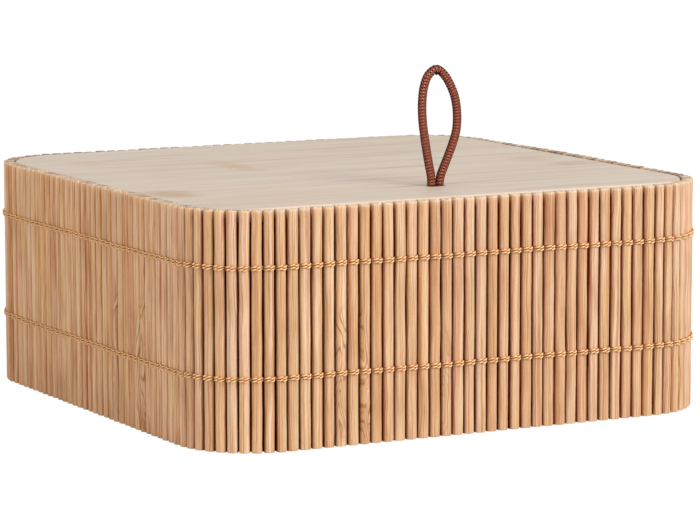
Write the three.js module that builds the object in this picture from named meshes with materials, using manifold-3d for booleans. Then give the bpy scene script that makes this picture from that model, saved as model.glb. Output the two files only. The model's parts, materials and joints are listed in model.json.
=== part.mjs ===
// A square storage box with round corners: bamboo sticks on a thin wooden liner, bound by two rows
// of thread, with a drop-in board lid that is lifted by a cord loop.
// Millimetres, +Z up. The origin is the middle of the face that the box stands on.
// The front is the side towards -Y, and the loop is near that edge of the lid.
import * as THREE from 'three';
import { mergeVertices } from 'three/addons/utils/BufferGeometryUtils.js';
import Module from 'manifold-3d';

// The case, over the crowns of the sticks and up to their cut ends.
const side = 200;
const height = 81.5;
const cornerRadius = 28;

// Sticks: half-round bamboo, flat side glued to the liner.
const stickPitch = 4.48;
const stickThickness = 3.6;
const stickRise = 1.4;
const stickGap = 0.38;
const stickWidthSpread = 0.12;
const cornerStickGap = 0.42;
const stickBevel = 0.3;
const glueDepth = 0.2;
const crownSteps = 5;

// The liner that the sticks are glued to. The lid rests on its top edge.
const linerThickness = 3;

// The bottom board, let in between the liner's walls.
const floorThickness = 4;
const floorClearance = 0.3;

// The lid board, dropped in between the sticks.
const lidThickness = 4;
const lidRecess = 0.2;
const lidClearance = 0.45;
const lidCornerRadius = 25.5;
const lidChamfer = 0.4;

// The cord hole in the lid, a slot that the two legs of the loop share, a little to the right of
// the middle.
const holeFromFront = 37.4;
const holeAside = 4.6;
const holeClearance = 0.3;
const holeSteps = 6;

// The elastic cord.
const cordDiameter = 3;
const cordSides = 8;
const legSpacing = 3.4;
const legProud = 0.1;
const pivotGap = 0.3;
const loopSteps = 32;
const domeDegrees = [25, 50, 72];

// The stopper knot under the lid.
const knotPitch = 1.75;
const knotClearance = 0.3;
const knotSteps = 36;

// The two rows of binding thread.
const threadRows = { upper_thread_row: 62.2, lower_thread_row: 24.9 };
const threadHeight = 1.6;
const threadCrossHeight = 1.1;
const threadThickness = 0.6;
const threadWaist = 0.2;
const threadSeat = 0.25;
const threadDip = 0.8;

// The loop's centreline, as the cord stands: across from the hole, and up from the lid's top face.
const loopRoute = [
  [-2.1, 4.1], [-2.7, 7], [-3.5, 11.6], [-4.5, 17.4], [-5.3, 23.6], [-5.4, 30], [-4.6, 35.5],
  [-2.9, 39.2], [0.1, 41.2], [3.1, 39.2], [5.6, 35.4], [7.6, 30.6], [8.5, 24.8], [8.2, 19.2],
  [6.9, 14.9], [5.2, 10.8], [3.4, 6.8], [2.2, 4.1],
];

// What sets the small differences between one stick and the next.
const wanderTurn = 2.399;
const wanderShift = 1.713;

// How far a cutting block reaches past what it cuts, and how far off a tangent is measured.
const cutMargin = 1;
const tangentStep = 1e-4;

// Places that follow from the sizes above.
const half = side / 2;
const linerHalf = half - stickThickness;
const linerRadius = cornerRadius - stickThickness;
const innerHalf = linerHalf - linerThickness;
const innerRadius = linerRadius - linerThickness;
const straight = 2 * (half - cornerRadius);
const sticksPerSide = Math.round(straight / stickPitch);
const sidePitch = straight / sticksPerSide;
const sticksPerCorner = Math.round((Math.PI / 2) * cornerRadius / stickPitch);
const cornerStep = Math.PI / 2 / sticksPerCorner;
const lidTop = height - lidRecess;
const linerTop = lidTop - lidThickness;
const lidHalf = linerHalf - lidClearance;
const holeX = holeAside;
const holeY = -half + holeFromFront;
const cordRadius = cordDiameter / 2;
const pivotZ = lidTop + legProud + pivotGap + cordRadius;
const cornerCentre = half - cornerRadius;

const wasm = await Module();
wasm.setup();

const finish = {
  stick: { color: 0xc99a68, roughness: 0.55, metalness: 0 },
  lid: { color: 0xd6c5b2, roughness: 0.6, metalness: 0 },
  board: { color: 0xcdb393, roughness: 0.65, metalness: 0 },
  thread: { color: 0xd9b07a, roughness: 0.7, metalness: 0 },
  cord: { color: 0x8a4b38, roughness: 0.8, metalness: 0 },
};

function toSolid(geometry) {
  const bare = geometry.clone();
  bare.deleteAttribute('normal');
  bare.deleteAttribute('uv');
  const merged = mergeVertices(bare, 1e-4);
  return new wasm.Manifold(new wasm.Mesh({
    numProp: 3,
    vertProperties: new Float32Array(merged.attributes.position.array),
    triVerts: new Uint32Array(merged.index.array),
  }));
}

function toGeometry(solid) {
  const mesh = solid.getMesh();
  const geometry = new THREE.BufferGeometry();
  geometry.setAttribute('position', new THREE.BufferAttribute(mesh.vertProperties, 3));
  geometry.setIndex(new THREE.BufferAttribute(mesh.triVerts, 1));
  geometry.computeVertexNormals();
  return geometry;
}

function joined(geometries) {
  const [first, ...rest] = geometries.map(toSolid);
  return toGeometry(rest.reduce((sum, solid) => sum.add(solid), first));
}

function mesh(name, geometry, look) {
  const made = new THREE.Mesh(geometry, new THREE.MeshStandardMaterial(finish[look]));
  made.name = name;
  return made;
}

// A flat outline stood up between two heights.
function prism(points, bottom, top) {
  const shape = new THREE.Shape(points);
  const geometry = new THREE.ExtrudeGeometry(shape, { depth: top - bottom, bevelEnabled: false });
  return geometry.translate(0, 0, bottom);
}

// How much narrower one stick is than the widest, up to the full spread.
function shrinkage(index, seed) {
  const wander = Math.sin(index * wanderTurn + seed * wanderShift);
  return stickWidthSpread * (1 + wander) / 2;
}

// The half-round section of a stick, across and outwards from the middle of its flat back, from one
// edge of the back over the crown to the other. The back is sunk by the given depth.
function stickSection(width, sunk) {
  const shoulder = stickThickness - stickRise;
  const crownRadius = (width * width / 4 + stickRise * stickRise) / (2 * stickRise);
  const reach = Math.asin(width / 2 / crownRadius);
  const backHalf = width / 2 - stickBevel;
  const points = [[-backHalf, -sunk]];
  for (let step = 0; step <= crownSteps; step += 1) {
    const angle = -reach + (2 * reach * step) / crownSteps;
    points.push([
      crownRadius * Math.sin(angle),
      shoulder - crownRadius * Math.cos(reach) + crownRadius * Math.cos(angle),
    ]);
  }
  points.push([backHalf, -sunk]);
  return points;
}

// A straight wall as it stands in front: a flat liner panel that carries its sticks. Its section is
// one comb, and behind the sticks' tops the liner is cut down to the lid's seat.
function straightWall(seed) {
  const comb = [new THREE.Vector2(-straight / 2, -innerHalf)];
  comb.push(new THREE.Vector2(-straight / 2, -linerHalf));
  for (let index = 0; index < sticksPerSide; index += 1) {
    const x = -straight / 2 + (index + 0.5) * sidePitch;
    const width = sidePitch - stickGap - shrinkage(index, seed);
    for (const [across, out] of stickSection(width, 0)) {
      comb.push(new THREE.Vector2(x + across, -linerHalf - out));
    }
  }
  comb.push(new THREE.Vector2(straight / 2, -linerHalf));
  comb.push(new THREE.Vector2(straight / 2, -innerHalf));
  const reach = straight / 2 + cutMargin;
  const seat = prism([
    new THREE.Vector2(-reach, -linerHalf),
    new THREE.Vector2(reach, -linerHalf),
    new THREE.Vector2(reach, -innerHalf + cutMargin),
    new THREE.Vector2(-reach, -innerHalf + cutMargin),
  ], linerTop, height + cutMargin);
  return toGeometry(toSolid(prism(comb, 0, height)).subtract(toSolid(seat)));
}

// Points on the quarter turn between the front and the right-hand side, one at each stick's edge.
function cornerArc(radius) {
  const points = [];
  for (let index = 0; index <= sticksPerCorner; index += 1) {
    const angle = -Math.PI / 2 + index * cornerStep;
    points.push(new THREE.Vector2(
      cornerCentre + radius * Math.cos(angle),
      -cornerCentre + radius * Math.sin(angle),
    ));
  }
  return points;
}

// The round corner at the right-hand end of the front: a bent liner piece that carries its sticks.
function cornerWall(seed) {
  const bent = prism([...cornerArc(linerRadius), ...cornerArc(innerRadius).reverse()], 0, linerTop);
  const pieces = [bent];
  const flat = linerRadius * Math.cos(cornerStep / 2);
  const widest = 2 * (flat + stickThickness - stickRise) * Math.tan(cornerStep / 2);
  const backRoom = 2 * flat * Math.tan(cornerStep / 2) - cornerStickGap / 2;
  const room = Math.min(widest - cornerStickGap, backRoom + 2 * stickBevel);
  for (let index = 0; index < sticksPerCorner; index += 1) {
    const angle = -Math.PI / 2 + (index + 0.5) * cornerStep;
    const x = cornerCentre + flat * Math.cos(angle);
    const y = -cornerCentre + flat * Math.sin(angle);
    const width = room - shrinkage(index, seed);
    const section = stickSection(width, glueDepth).map(([across, out]) => new THREE.Vector2(
      x + out * Math.cos(angle) - across * Math.sin(angle),
      y + out * Math.sin(angle) + across * Math.cos(angle),
    ));
    pieces.push(prism(section, 0, height));
  }
  return joined(pieces);
}

// A square outline with round corners, each corner turned in the same steps as the sticks.
function roundedSquare(halfWidth, radius) {
  const centre = halfWidth - radius;
  const points = [];
  for (let turn = 0; turn < 4; turn += 1) {
    const middle = -Math.PI / 4 + turn * Math.PI / 2;
    const cx = centre * Math.SQRT2 * Math.cos(middle);
    const cy = centre * Math.SQRT2 * Math.sin(middle);
    for (let index = 0; index <= sticksPerCorner; index += 1) {
      const angle = middle - Math.PI / 4 + index * cornerStep;
      points.push(new THREE.Vector2(cx + radius * Math.cos(angle), cy + radius * Math.sin(angle)));
    }
  }
  return points;
}

function lidBoard() {
  const shape = new THREE.Shape(roundedSquare(lidHalf, lidCornerRadius));
  const slot = new THREE.Path();
  const endRadius = cordRadius + holeClearance;
  slot.absarc(holeX + legSpacing / 2, holeY, endRadius, -Math.PI / 2, Math.PI / 2, false);
  slot.absarc(holeX - legSpacing / 2, holeY, endRadius, Math.PI / 2, 1.5 * Math.PI, false);
  shape.holes.push(slot);
  const geometry = new THREE.ExtrudeGeometry(shape, {
    depth: lidThickness - 2 * lidChamfer,
    curveSegments: holeSteps,
    bevelEnabled: true,
    bevelThickness: lidChamfer,
    bevelSize: lidChamfer,
    bevelOffset: -lidChamfer,
    bevelSegments: 1,
  });
  return geometry.translate(0, 0, linerTop + lidChamfer);
}

// A skin through rings of points, either closed round on itself or capped at its two ends.
function skin(rings, closed) {
  const count = rings[0].length;
  const corners = rings.flat().flatMap((point) => [point.x, point.y, point.z]);
  const faces = [];
  const last = closed ? rings.length : rings.length - 1;
  for (let ring = 0; ring < last; ring += 1) {
    const next = (ring + 1) % rings.length;
    for (let index = 0; index < count; index += 1) {
      const a = ring * count + index;
      const b = ring * count + ((index + 1) % count);
      const c = next * count + index;
      const d = next * count + ((index + 1) % count);
      faces.push(a, b, d, a, d, c);
    }
  }
  if (!closed) {
    const end = (rings.length - 1) * count;
    for (let index = 1; index < count - 1; index += 1) {
      faces.push(0, index + 1, index, end, end + index, end + index + 1);
    }
  }
  const geometry = new THREE.BufferGeometry();
  geometry.setAttribute('position', new THREE.Float32BufferAttribute(corners, 3));
  geometry.setIndex(faces);
  geometry.computeVertexNormals();
  return geometry;
}

// A ring of cord across a direction, its first point on the side that the given vector names.
function cordRing(centre, along, sideways, radius) {
  const up = new THREE.Vector3().crossVectors(along, sideways).normalize();
  const across = new THREE.Vector3().crossVectors(up, along).normalize();
  const ring = [];
  for (let index = 0; index < cordSides; index += 1) {
    const angle = (2 * Math.PI * (index + 0.5)) / cordSides;
    ring.push(centre.clone()
      .addScaledVector(across, radius * Math.cos(angle))
      .addScaledVector(up, radius * Math.sin(angle)));
  }
  return ring;
}

// The standing loop, from the bend over the lid's left leg round to the right one. Its ends are
// domes about the line that the loop bends on, so that it turns over the legs without touching.
function pullLoop() {
  const end = pivotZ - lidTop;
  const route = [[-legSpacing / 2, end], ...loopRoute, [legSpacing / 2, end]];
  const points = route.map(([x, up]) => new THREE.Vector3(holeX + x, holeY, lidTop + up));
  const curve = new THREE.CatmullRomCurve3(points, false, 'centripetal');
  const towards = new THREE.Vector3(0, 1, 0);
  const rings = [];
  for (let step = 0; step <= loopSteps; step += 1) {
    const along = curve.getTangentAt(step / loopSteps);
    rings.push(cordRing(curve.getPointAt(step / loopSteps), along, towards, cordRadius));
  }
  const startAlong = curve.getTangentAt(0);
  const endAlong = curve.getTangentAt(1);
  for (const angle of domeDegrees.map(THREE.MathUtils.degToRad)) {
    const back = cordRadius * Math.sin(angle);
    const around = cordRadius * Math.cos(angle);
    rings.unshift(cordRing(points[0].clone().addScaledVector(startAlong, -back),
      startAlong, towards, around));
    rings.push(cordRing(points[points.length - 1].clone().addScaledVector(endAlong, back),
      endAlong, towards, around));
  }
  return skin(rings, false);
}

// The stopper: an overhand knot lying under the lid, with the loop's two legs coming up out of it.
function knotAndLegs() {
  const knotZ = linerTop - knotClearance - cordRadius - knotPitch;
  const rings = [];
  const at = (turn) => new THREE.Vector3(
    holeX + knotPitch * (Math.sin(turn) + 2 * Math.sin(2 * turn)),
    holeY + knotPitch * (Math.cos(turn) - 2 * Math.cos(2 * turn)),
    knotZ - knotPitch * Math.sin(3 * turn),
  );
  for (let step = 0; step < knotSteps; step += 1) {
    const turn = (2 * Math.PI * step) / knotSteps;
    const along = at(turn + tangentStep).sub(at(turn - tangentStep)).normalize();
    rings.push(cordRing(at(turn), along, new THREE.Vector3(0, 0, 1), cordRadius));
  }
  const legTop = lidTop + legProud;
  const legBottom = knotZ - cordRadius;
  const legs = [-1, 1].map((hand) => {
    const leg = new THREE.CylinderGeometry(cordRadius, cordRadius, legTop - legBottom, cordSides);
    leg.rotateX(Math.PI / 2);
    return leg.translate(holeX + hand * legSpacing / 2, holeY, (legTop + legBottom) / 2);
  });
  return joined([skin(rings, true), ...legs]);
}

// A quarter of the way round the case, from the left end of the front to the end of the right
// corner: where each stick's edge and crown are, and which way is out.
function quarterStations() {
  const stations = [];
  for (let index = 0; index < 2 * sticksPerSide; index += 1) {
    const x = -straight / 2 + (index / 2) * sidePitch;
    stations.push({ x, y: -linerHalf, angle: -Math.PI / 2, onCrown: index % 2 === 1 });
  }
  const flat = linerRadius * Math.cos(cornerStep / 2);
  for (let index = 0; index < 2 * sticksPerCorner; index += 1) {
    const angle = -Math.PI / 2 + (index / 2) * cornerStep;
    stations.push({
      x: cornerCentre + flat * Math.cos(angle),
      y: -cornerCentre + flat * Math.sin(angle),
      angle,
      onCrown: index % 2 === 1,
    });
  }
  return stations;
}

// One row of thread: two strands side by side over each crown, that dip and cross between sticks.
function threadRow(z) {
  const rings = [];
  for (let turn = 0; turn < 4; turn += 1) {
    for (const station of quarterStations()) {
      const tall = (station.onCrown ? threadHeight : threadCrossHeight) / 2;
      const waist = station.onCrown ? threadWaist : 0;
      const inside = stickThickness + threadSeat - (station.onCrown ? 0 : threadDip);
      const outside = inside + threadThickness;
      const section = [[inside, 0], [outside, -tall], [outside - waist, 0], [outside, tall]];
      const spin = new THREE.Euler(0, 0, turn * Math.PI / 2);
      rings.push(section.map(([out, up]) => new THREE.Vector3(
        station.x + out * Math.cos(station.angle),
        station.y + out * Math.sin(station.angle),
        z + up,
      ).applyEuler(spin)));
    }
  }
  return skin(rings.map((ring) => ring.reverse()), true);
}

const caseGroup = new THREE.Group();
['front', 'right', 'back', 'left'].forEach((place, turn) => {
  const wall = mesh(`wall_${place}`, straightWall(turn), 'stick');
  wall.rotation.z = turn * Math.PI / 2;
  caseGroup.add(wall);
});
['front_right', 'back_right', 'back_left', 'front_left'].forEach((place, turn) => {
  const corner = mesh(`corner_${place}`, cornerWall(turn), 'stick');
  corner.rotation.z = turn * Math.PI / 2;
  caseGroup.add(corner);
});
const floorOutline = roundedSquare(innerHalf - floorClearance, innerRadius - floorClearance);
caseGroup.add(mesh('floor_board', prism(floorOutline, 0, floorThickness), 'board'));
for (const [name, z] of Object.entries(threadRows)) {
  caseGroup.add(mesh(name, threadRow(z), 'thread'));
}

const lidGroup = new THREE.Group();
lidGroup.add(mesh('lid_board', lidBoard(), 'lid'));
lidGroup.add(mesh('cord_knot', knotAndLegs(), 'cord'));

const loopGroup = new THREE.Group();
loopGroup.add(mesh('pull_loop', pullLoop(), 'cord'));

const box = new THREE.Group();
box.add(caseGroup, lidGroup, loopGroup);

export default box;
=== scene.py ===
"""The looks of a square bamboo box with a board lid and a cord loop, built round its CAD frame.

The frame is in metres, +Z up, with the box standing on z = 0 and its front towards -Y.
Lengths are written here in millimetres and multiplied by MM where they reach Blender.
"""

import json
import math

import bmesh
import bpy
import numpy as np
from mathutils import Matrix, Vector


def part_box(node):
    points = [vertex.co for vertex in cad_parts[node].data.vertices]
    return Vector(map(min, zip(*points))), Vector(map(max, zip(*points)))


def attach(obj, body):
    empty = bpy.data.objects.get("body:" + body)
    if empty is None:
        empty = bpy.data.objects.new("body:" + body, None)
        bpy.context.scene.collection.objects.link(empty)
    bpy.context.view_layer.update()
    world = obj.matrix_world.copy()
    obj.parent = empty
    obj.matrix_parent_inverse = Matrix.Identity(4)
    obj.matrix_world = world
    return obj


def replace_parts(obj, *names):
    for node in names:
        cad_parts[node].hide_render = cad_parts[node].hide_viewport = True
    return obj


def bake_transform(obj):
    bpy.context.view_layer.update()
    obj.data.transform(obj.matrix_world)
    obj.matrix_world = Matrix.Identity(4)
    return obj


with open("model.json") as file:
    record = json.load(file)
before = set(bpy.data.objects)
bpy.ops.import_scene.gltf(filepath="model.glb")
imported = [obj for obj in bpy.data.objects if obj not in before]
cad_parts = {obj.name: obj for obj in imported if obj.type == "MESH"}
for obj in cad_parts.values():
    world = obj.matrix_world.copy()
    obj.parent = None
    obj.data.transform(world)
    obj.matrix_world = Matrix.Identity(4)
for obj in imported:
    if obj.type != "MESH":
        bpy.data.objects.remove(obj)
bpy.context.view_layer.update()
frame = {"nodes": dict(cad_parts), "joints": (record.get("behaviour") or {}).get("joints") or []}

MM = 0.001

# The camera, fitted to the edges of the box in the photograph.
FOCAL_PX = 3623.5
IMAGE_WIDTH_PX = 700
SENSOR_MM = 36
CAMERA_AZIMUTH = math.radians(-27.859)
CAMERA_ELEVATION = math.radians(7.832)
CAMERA_ROLL = math.radians(-0.078)
CAMERA_DISTANCE = 1322.2
CAMERA_ASIDE = 3.383
CAMERA_TARGET_HEIGHT = 46.946

# What the frame says of the case, the lid and the cord hole, in millimetres.
wall_low, wall_high = (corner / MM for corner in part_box("wall_front"))
lid_low, lid_high = (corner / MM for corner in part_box("lid_board"))
loop_joint = next(joint for joint in frame["joints"] if joint["name"] == "loop_swing")
PIVOT = Vector(loop_joint["pos_m"]) / MM
HALF = -wall_low.y
HEIGHT = wall_high.z
STRAIGHT = 2 * wall_high.x
CORNER_RADIUS = HALF - wall_high.x
INNER_HALF = -wall_high.y
LID_TOP = lid_high.z
LINER_TOP = lid_low.z
LID_HALF = lid_high.x

# Sticks, as in the frame but each a little different from the next.
STICKS_PER_SIDE = 32
STICKS_PER_CORNER = 10
STICK_THICKNESS = 3.6
STICK_RISE = 1.85
STICK_SUNK = 0.05
STICK_BACK_BEVEL = 0.3
CROWN_POINTS = 17
CROWN_POWER = 0.94
GAP_NARROW = 0.38
GAP_WIDE = 0.9
GAP_SPREAD = (1.6, 2.4)
CORNER_GAP = 0.5
CORNER_GAP_SHARES = (0.7, 1.3)
END_ROUNDING = 0.28
FOOT_ROUNDING = 0.08
END_STEPS = (0.08, 0.3, 1.0)
BODY_RINGS = 34

# What is left of a rounded edge's inset at the one point that stands for its curve.
ROUNDING_LEFT = 0.3

# The painted shade in the gaps: how far up the crowns it reaches, and where it starts below the ends.
GAP_SHADE_TOP = 1.3
GAP_SHADE_START = 0.9
GAP_SHADE_FULL = 2.4

# How far down from the cut ends their colour reaches, outside and on the flat inner side.
END_REACH = 1.5
END_REACH_INSIDE = 1.5

# How much painted shade darkens each wall's cut ends, and how far they rise above the nominal
# height: all of them, those in the middle, and those at one end, with the other end as far down.
END_SHADE = {"front": 0.12, "right": 0.6, "back": 1.2, "left": 0.42}
END_RISE = {"front": 0.0, "right": -0.1, "back": -0.4, "left": 0.0}
END_BOW = {"front": 0.0, "right": 0.45, "back": 0.0, "left": 0.0}
END_TILT = {"front": 0.0, "right": -0.12, "back": 0.16, "left": 0.0}

# How a stick differs from the next: the ranges of its end height and end shade, the typical
# offsets of the whole stick, and its wander along the height. Rolls are in radians, and girth and
# end shade are shares.
END_UNEVEN = (-0.12, 0.06)
END_SHADE_UNEVEN = (-0.6, 0.6)
LEAN = 0.1
PROUD = 0.07
ROLL = 0.045
ASIDE_WANDER = 0.032
PROUD_WANDER = 0.03
ROLL_WANDER = 0.01
GIRTH_WANDER = 0.007
WAVES = 4
WAVE_LENGTHS = (9, 60)

# Sticks with a wild figure, by wall and place. It fades towards a height. The rest are calm.
WILD_STICKS = {
    ("front", 4): 0.9, ("front", 6): 1.0, ("front", 13): 0.35, ("left", 20): 0.8,
    ("left", 25): 1.0, ("left", 24): 0.5, ("right", 9): 0.8, ("back", 17): 0.9,
}
CALM = 0.12
WILD_TOP = 52
WILD_FADE = 14
WILD_LEAST = 0.06

# Thread rows: two strands, each of two plies, that weave over the sticks. They change sides more
# or less sharply, pass each other at a distance, and wobble up and down by a sum of waves: size,
# rate per stick and start. Each ply takes its hairs from another place, so far on.
STRAND_APART = 0.48
STRAND_SHARPNESS = 3.2
STRAND_PASSING = 0.16
PLY_RADIUS = 0.24
PLY_OFFSET = 0.25
PLY_TURN = 0.25
THREAD_DIP = 1.7
THREAD_PRESS = 0.2
DIP_SHARPNESS = 3
THREAD_WOBBLE = ((0.09, 0.37, 0), (0.06, 1.13, 2))
PLY_GRAIN_APART = 40
STRAND_GRAIN_APART = 900
STEPS_PER_STICK = 18
PLY_SIDES = 8

# The lid and the liner. Each board of the liner takes its grain from another place, so far on.
LID_ROUNDING = 0.4
LID_CORNER_RADIUS = 25.5
HOLE_CLEARANCE = 0.3
LINER_JOINT = 0.06
LINER_ROUNDING = 0.25
GRAIN_APART = 150

# The elastic cord. Its surface lies at its radius where the braid's height is at its level.
CORD_RADIUS = 1.53
LEG_SPACING = 3.4
BRAID_CARRIERS = 8
BRAID_PITCH = 1.08
BRAID_DEPTH = 0.28
BRAID_LEVEL = 0.75
YARN_POWER = 0.7
YARN_ARCH = 0.3
RIB_PITCH = 1.08
RIB_SHARE = 0.3
RIB_SLANT = 0.9
# The sides of the cord that turn away from this azimuth get painted shade.
SIDE_SHADE_AZIMUTH = math.radians(-22)
CORD_END_ROUNDING = 0.6
CORD_SIDES = 56
CORD_STEP = 0.13

# The fold at the top of the loop: a bulge on its inner side, with a dent on each side of it.
FOLD_DEPTH = 0.6
FOLD_SIDE = math.radians(-90)
FOLD_POWER = 1.5
BULGE_WIDTH = 0.5
DENT_SHARE = 0.75
DENT_OFF = 1.2
DENT_WIDTH = 0.55
DENT_SHADE = 1.6

# The loop's way, to the right and up from the middle of the hole's rim. It starts below the rim,
# the knot's legs reach up above it, and the loop bends between two heights above it.
LOOP_ROUTE = [
    (-1.68, 0.6), (-1.85, 3.4), (-2.6, 7), (-3.5, 11.6), (-4.5, 17.4), (-5.3, 23.6), (-5.4, 30),
    (-4.6, 35.3), (-2.9, 38.9), (0.1, 40.75), (3.1, 38.9), (5.6, 35.3), (7.6, 30.6), (8.5, 24.8),
    (8.2, 19.2), (6.9, 14.9), (5.2, 10.8), (3.4, 6.8), (1.95, 3.4), (1.45, 0.6),
]
LEG_ENDS = (-1.7, 1.35)
LOOP_START = -0.2
LEG_TOP = 0.1

# The stopper knot, a trefoil, and the way of its two tails: out, back and down from its middle.
KNOT_PITCH = 1.75
TAIL_ROUTE = ((1.5, 0.0, 0.5), (3.6, 1.6, 1.2), (6.0, 3.6, 1.4), (8.4, 5.0, 1.3))

# The stage and the light: lengths in metres, and a strength.
STAGE_REACH = 4.0
STAGE_DROP = 0.00005
WORLD_FILL = 0.34
LAMP_AIM_HEIGHT = 0.04

# What follows from the sizes above.
LINER_HALF = HALF - STICK_THICKNESS
LINER_RADIUS = CORNER_RADIUS - STICK_THICKNESS
INNER_RADIUS = LINER_RADIUS - (LINER_HALF - INNER_HALF)
CORNER_CENTRE = HALF - CORNER_RADIUS
CORNER_STEP = math.pi / 2 / STICKS_PER_CORNER
STICK_PITCH = STRAIGHT / STICKS_PER_SIDE
SIDES = ("front", "right", "back", "left")
CORNERS = ("front_right", "back_right", "back_left", "front_left")

chance = np.random.default_rng(11)


def srgb(red, green, blue):
    """A colour as the eye reads it, from 0 to 255, as the linear colour that shaders take."""
    def linear(value):
        share = value / 255
        return share / 12.92 if share <= 0.04045 else ((share + 0.055) / 1.055) ** 2.4
    return (linear(red), linear(green), linear(blue), 1.0)


# Meshes

def skin(rings, closed=False):
    """Points and faces of a skin through rings of points, an array of rings by points by 3."""
    count, around = rings.shape[:2]
    ring = np.arange(count if closed else count - 1)[:, None]
    point = np.arange(around)[None, :]
    following = (ring + 1) % count
    beside = (point + 1) % around
    quads = np.stack([
        ring * around + point, ring * around + beside,
        following * around + beside, following * around + point,
    ], axis=-1).reshape(-1, 4)
    faces = quads.tolist()
    if not closed:
        faces.append(list(range(around))[::-1])
        faces.append(list(range((count - 1) * around, count * around)))
    return rings.reshape(-1, 3), faces


def volume_sign(points, faces):
    """Positive where the faces point out of the body that they close."""
    total = 0.0
    for face in faces:
        a, b, c = points[face[0]], points[face[1]], points[face[2]]
        total += np.dot(a, np.cross(b, c)) * (len(face) - 2)
    return total


def joined(bodies):
    """Several bodies' points and faces as one, each turned so that its faces point out."""
    points, faces, start = [], [], 0
    for body_points, body_faces in bodies:
        if volume_sign(body_points, body_faces) < 0:
            body_faces = [face[::-1] for face in body_faces]
        points.append(body_points)
        faces.extend([index + start for index in face] for face in body_faces)
        start += len(body_points)
    return np.concatenate(points), faces


def placed(name, data, material, body):
    """An object of the given mesh that rides on a body of the frame, if one is named."""
    data.materials.append(material)
    made = bpy.data.objects.new(name, data)
    bpy.context.scene.collection.objects.link(made)
    if body:
        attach(made, body)
    return made


def piece(name, points, faces, material, body, smooth=True):
    """An object of the given millimetre points and faces."""
    data = bpy.data.meshes.new(name)
    data.from_pydata((points * MM).tolist(), [], faces)
    data.polygons.foreach_set("use_smooth", np.full(len(faces), smooth))
    data.update()
    return placed(name, data, material, body)


def note(made, name, values):
    """Stores a number or a vector at each point of a piece, for its material to read."""
    kind = "FLOAT" if values.ndim == 1 else "FLOAT_VECTOR"
    attribute = made.data.attributes.new(name, kind, "POINT")
    field = "value" if values.ndim == 1 else "vector"
    attribute.data.foreach_set(field, values.astype(np.float32).ravel())


def turned(points, quarter_turns):
    """Points turned about the upright axis by a number of quarter turns."""
    turn = np.array(Matrix.Rotation(quarter_turns * math.pi / 2, 3, "Z"))
    return points @ turn.T


def heading(angle):
    """The unit vector at an angle in the plane."""
    return np.array([math.cos(angle), math.sin(angle)])


def arc(centre, radius, start, stop, steps):
    """Points on an arc in the plane between two angles."""
    return [centre + radius * heading(angle) for angle in np.linspace(start, stop, steps)]


def normalised(vectors):
    """The vectors, one in each row, brought to length 1."""
    return vectors / np.linalg.norm(vectors, axis=1, keepdims=True)


def way_along(path, closed):
    """The unit vector along a path at each of its points."""
    if closed:
        return normalised(np.roll(path, -1, axis=0) - np.roll(path, 1, axis=0))
    return normalised(np.gradient(path, axis=0))


def run_along(path):
    """How far along a path each of its points lies."""
    return np.concatenate([[0], np.cumsum(np.linalg.norm(np.diff(path, axis=0), axis=1))])


def spokes(across, up, angle):
    """Unit vectors out from each point of a path, at each angle from across towards up."""
    return (across[:, None, :] * np.cos(angle)[None, :, None]
            + up[:, None, :] * np.sin(angle)[None, :, None])


# Materials

class Surface:
    """A material in the making. Each method adds a node and gives its output."""

    def __init__(self, name):
        self.material = bpy.data.materials.new(name)
        self.material.use_nodes = True
        self.tree = self.material.node_tree
        self.shader = self.tree.nodes["Principled BSDF"]

    def node(self, kind, inputs=(), **settings):
        made = self.tree.nodes.new("ShaderNode" + kind)
        for name, value in settings.items():
            setattr(made, name, value)
        for key, value in dict(inputs).items():
            if isinstance(value, bpy.types.NodeSocket):
                self.tree.links.new(value, made.inputs[key])
            else:
                made.inputs[key].default_value = value
        return made

    def attribute(self, name):
        return self.node("Attribute", attribute_name=name)

    def parts(self, vector):
        return self.node("SeparateXYZ", {0: vector}).outputs

    def vector(self, x, y, z):
        return self.node("CombineXYZ", {0: x, 1: y, 2: z}).outputs[0]

    def maths(self, operation, a, b=0.0):
        return self.node("Math", {0: a, 1: b}, operation=operation).outputs[0]

    def times(self, a, b):
        return self.maths("MULTIPLY", a, b)

    def plus(self, a, b):
        return self.maths("ADD", a, b)

    def noise(self, vector, detail=2.0, roughness=0.5, scale=1.0):
        return self.node("TexNoise", {
            "Vector": vector, "Scale": scale, "Detail": detail, "Roughness": roughness,
        }).outputs[0]

    def window(self, value, low, high):
        """0 below low, 1 above high and smooth between them."""
        return self.node("MapRange", {0: value, 1: low, 2: high},
                         interpolation_type="SMOOTHSTEP").outputs[0]

    def ramp(self, factor, stops):
        made = self.node("ValToRGB", {0: factor})
        elements = made.color_ramp.elements
        while len(elements) < len(stops):
            elements.new(0.5)
        for element, (place, colour) in zip(elements, stops):
            element.position = place
            element.color = colour
        return made.outputs[0]

    def mix(self, factor, a, b, blend="MIX"):
        return self.node("Mix", {0: factor, 6: a, 7: b},
                         data_type="RGBA", blend_type=blend).outputs[2]

    def shade(self, colour, factor, stops):
        """The colour multiplied by a ramp, where white leaves it as it is."""
        return self.mix(1.0, colour, self.ramp(factor, stops), "MULTIPLY")

    def place(self):
        """Where a point lies on the object, in millimetres, as x, y and z."""
        metres = self.node("TexCoord").outputs["Object"]
        return self.parts(self.node("VectorMath", {0: metres, "Scale": 1 / MM},
                                    operation="SCALE").outputs[0])

    def finish(self, colour, bump, depth, roughness, specular, shine=None):
        """Links the colour and the bump, whose full height is depth millimetres."""
        inputs = self.shader.inputs
        self.tree.links.new(colour, inputs["Base Color"])
        inputs["Roughness"].default_value = roughness
        inputs["Specular IOR Level"].default_value = specular
        if shine is not None:
            self.tree.links.new(self.times(shine, specular), inputs["Specular IOR Level"])
        bumped = self.node("Bump", {"Height": bump, "Distance": depth * MM, "Strength": 1.0})
        self.tree.links.new(bumped.outputs[0], inputs["Normal"])
        return self.material


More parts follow.
